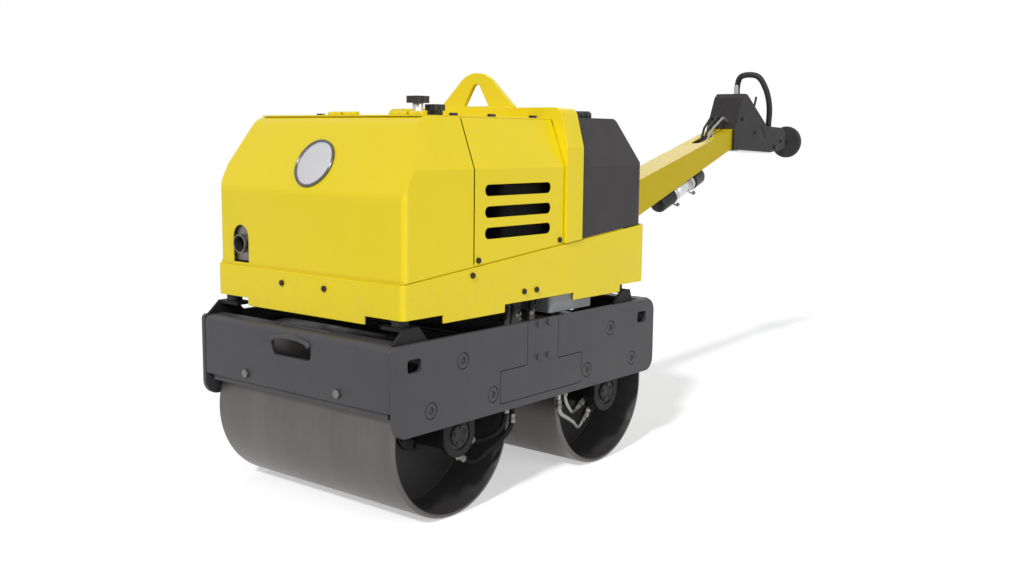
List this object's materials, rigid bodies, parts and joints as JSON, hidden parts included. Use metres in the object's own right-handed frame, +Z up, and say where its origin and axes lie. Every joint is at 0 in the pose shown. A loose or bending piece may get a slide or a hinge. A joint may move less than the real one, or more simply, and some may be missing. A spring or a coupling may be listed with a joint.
{
  "type": "walk-behind double drum vibratory roller",
  "caption": "Hand-guided soil and asphalt roller with two steel drums in line, a plate chassis, a yellow engine body and a long hinged handle with a control head.",
  "frame": {"origin": "on the ground, centred below the machine's overall box", "axes": "+Z up, X along the drum axles, +Y towards the handle and the crash button"},
  "size_m": [0.7204, 2.697, 1.1837],
  "materials": {
    "plate_paint": "satin dark grey",
    "cover_paint": "satin dark grey",
    "body_paint": "gloss yellow",
    "drum_steel": "worn rolled steel",
    "cast_grey": "cast",
    "machined": "machined",
    "zinc": "zinc plated",
    "black_rubber": "matt",
    "black_plastic": "fine grain",
    "tank_plastic": "moulded dark grey",
    "oil_paint": "satin light grey",
    "bare_aluminium": "brushed",
    "exhaust_steel": "heat stained",
    "badge_plate": "gloss"
  },
  "bodies": {
    "chassis": {"side_plate_right": "plate_paint", "side_plate_left": "plate_paint", "front_plate": "plate_paint", "rear_plate": "plate_paint", "crossmember": "plate_paint", "access_covers": "cover_paint", "chassis_bolts": "zinc", "drum_arms": "plate_paint", "drive_motors": "cast_grey", "motor_pipes": "zinc", "axle_stubs": "machined", "scraper_holders": "plate_paint", "scraper_blades": "black_rubber", "spray_bars": "black_plastic", "corner_posts": "cover_paint", "buffers": "black_rubber", "exciter_bearings": "machined", "drive_belt": "black_rubber", "deck": "plate_paint", "oil_tank": "oil_paint", "hoses": "black_rubber", "engine_block": "cast_grey", "muffler": "exhaust_steel", "air_filter": "black_plastic", "fuel_tank": "black_plastic", "oil_pump": "cast_grey", "skirt": "body_paint", "side_panel_right": "body_paint", "side_panel_left": "body_paint", "roof": "body_paint", "lifting_eye": "body_paint", "hood_hinges": "zinc", "body_bolts": "zinc", "water_tank": "tank_plastic", "tap_body": "zinc", "handle_bracket": "cover_paint", "handle_pin": "machined"},
    "front_drum": {"front_drum": "drum_steel", "front_hubs": "cast_grey"},
    "rear_drum": {"rear_drum": "drum_steel", "rear_hubs": "cast_grey"},
    "crank": {"crankshaft": "machined", "crank_pulley": "cast_grey"},
    "exciter": {"exciter_shaft": "machined", "exciter_pulley": "cast_grey"},
    "hood": {"hood": "body_paint", "badge": "badge_plate"},
    "handle": {"handle_beam": "body_paint", "document_tube": "bare_aluminium", "tube_fittings": "black_plastic", "control_head": "cover_paint", "head_base": "bare_aluminium", "control_cables": "black_rubber"},
    "loop": {"control_loop": "black_rubber"},
    "button": {"crash_button": "black_plastic"},
    "throttle": {"throttle_lever": "bare_aluminium"},
    "vibration": {"vibration_lever": "bare_aluminium"},
    "water_cap": {"water_cap": "black_plastic"},
    "tap_knob": {"tap_knob": "black_plastic"},
    "filler_cap": {"filler_cap": "black_plastic"}
  },
  "joints": [
    {"name": "front_drum_spin", "type": "hinge", "parent": "chassis", "child": "front_drum", "pos_m": [0, -1.11164, 0.21], "axis": [1, 0, 0], "continuous": true},
    {"name": "rear_drum_spin", "type": "hinge", "parent": "chassis", "child": "rear_drum", "pos_m": [0, -0.48664, 0.21], "axis": [1, 0, 0], "continuous": true},
    {"name": "crank_spin", "type": "hinge", "parent": "chassis", "child": "crank", "pos_m": [0, -1.01914, 0.645], "axis": [1, 0, 0], "continuous": true},
    {"name": "exciter_spin", "type": "hinge", "parent": "chassis", "child": "exciter", "pos_m": [0, -0.79914, 0.312], "axis": [1, 0, 0], "continuous": true},
    {"name": "hood_open", "type": "hinge", "parent": "chassis", "child": "hood", "pos_m": [0, -1.05414, 0.9796], "axis": [-1, 0, 0], "range_deg": [0, 55]},
    {"name": "handle_tilt", "type": "hinge", "parent": "chassis", "child": "handle", "pos_m": [0, -0.20714, 0.622], "axis": [1, 0, 0], "range_deg": [0, 70]},
    {"name": "loop_tilt", "type": "hinge", "parent": "handle", "child": "loop", "pos_m": [0, 1.07464, 0.94503], "axis": [1, 0, 0], "range_deg": [-12, 12]},
    {"name": "crash_push", "type": "slide", "parent": "handle", "child": "button", "axis": [0, 1, 0], "range_m": [-0.02, 0], "stiffness_N_per_m": 400, "springref_m": 0.02},
    {"name": "throttle_swing", "type": "hinge", "parent": "handle", "child": "throttle", "pos_m": [-0.022, 0.91664, 1.01603], "axis": [1, 0, 0], "range_deg": [-25, 25]},
    {"name": "vibration_swing", "type": "hinge", "parent": "handle", "child": "vibration", "pos_m": [0.012, 0.97464, 0.98203], "axis": [1, 0, 0], "range_deg": [-20, 20]},
    {"name": "water_cap_turn", "type": "hinge", "parent": "chassis", "child": "water_cap", "pos_m": [0.195, -0.44714, 0.978], "axis": [0, 0, 1], "range_deg": [0, 90]},
    {"name": "tap_turn", "type": "hinge", "parent": "chassis", "child": "tap_knob", "pos_m": [0.04, -0.94014, 1], "axis": [0, 0, 1], "range_deg": [0, 90]},
    {"name": "filler_cap_turn", "type": "hinge", "parent": "chassis", "child": "filler_cap", "pos_m": [0.04, -0.87514, 0.99], "axis": [0, 0, 1], "range_deg": [0, 90]}
  ],
  "couplings": [
    {"joint": "exciter_spin", "follows": "crank_spin", "ratio": 1.3043}
  ]
}
